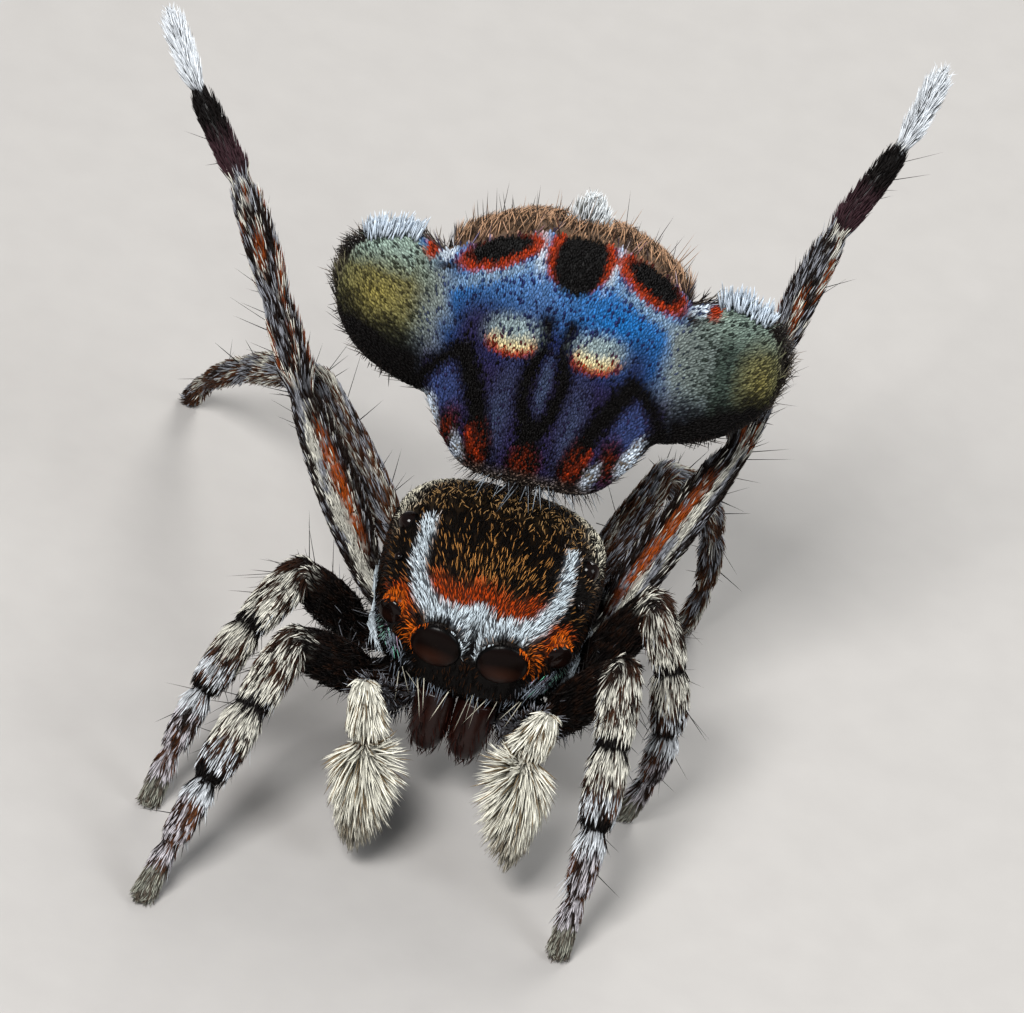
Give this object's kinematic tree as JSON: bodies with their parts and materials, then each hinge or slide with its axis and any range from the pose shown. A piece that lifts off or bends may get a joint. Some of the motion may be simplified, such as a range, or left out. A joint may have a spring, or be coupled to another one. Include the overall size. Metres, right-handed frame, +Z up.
{
  "type": "peacock jumping spider model",
  "caption": "Still life-size model of a male harris jumping spider in courtship display, fan raised, third legs up, standing on its other feet.",
  "frame": {"origin": "on the floor, at the middle of the whole spider's bounding box", "axes": "+Z up, the spider faces -Y, and +X is its left side"},
  "size_m": [0.0062, 0.0066, 0.0054],
  "materials": {
    "carapace": "black cuticle under short gold and cream hairs",
    "cuticle": "dark red-brown cuticle, half gloss",
    "eye": "deep brown lens, high gloss",
    "white_brush": "dense white bristles",
    "banded_leg": "black-brown hairs banded with cream ones",
    "fan_scales": "iridescent blue scales with dark stripes, red and cream spots",
    "flap_scales": "iridescent green-gold scales"
  },
  "bodies": {
    "root": {"carapace": "carapace", "sternum": "cuticle", "pedicel": "cuticle", "chelicera_right": "cuticle", "chelicera_left": "cuticle", "eye_anterior_median_right": "eye", "eye_anterior_median_left": "eye", "eye_anterior_lateral_right": "eye", "eye_anterior_lateral_left": "eye", "eye_posterior_median_right": "eye", "eye_posterior_median_left": "eye", "eye_posterior_lateral_right": "eye", "eye_posterior_lateral_left": "eye", "palp_right_arm": "cuticle", "palp_right_brush": "white_brush", "palp_left_arm": "cuticle", "palp_left_brush": "white_brush", "leg_1_right_femur": "banded_leg", "leg_1_right_shank": "banded_leg", "leg_1_right_foot": "banded_leg", "leg_1_left_femur": "banded_leg", "leg_1_left_shank": "banded_leg", "leg_1_left_foot": "banded_leg", "leg_2_right_femur": "banded_leg", "leg_2_right_shank": "banded_leg", "leg_2_right_foot": "banded_leg", "leg_2_left_femur": "banded_leg", "leg_2_left_shank": "banded_leg", "leg_2_left_foot": "banded_leg", "leg_3_right_femur": "banded_leg", "leg_3_right_shank": "banded_leg", "leg_3_right_foot": "white_brush", "leg_3_left_femur": "banded_leg", "leg_3_left_shank": "banded_leg", "leg_3_left_foot": "white_brush", "leg_4_right_femur": "banded_leg", "leg_4_right_shank": "banded_leg", "leg_4_right_foot": "banded_leg", "leg_4_left_femur": "banded_leg", "leg_4_left_shank": "banded_leg", "leg_4_left_foot": "banded_leg", "abdomen": "fan_scales", "flap_right": "flap_scales", "flap_left": "flap_scales", "spinnerets": "cuticle"}
  },
  "joints": []
}
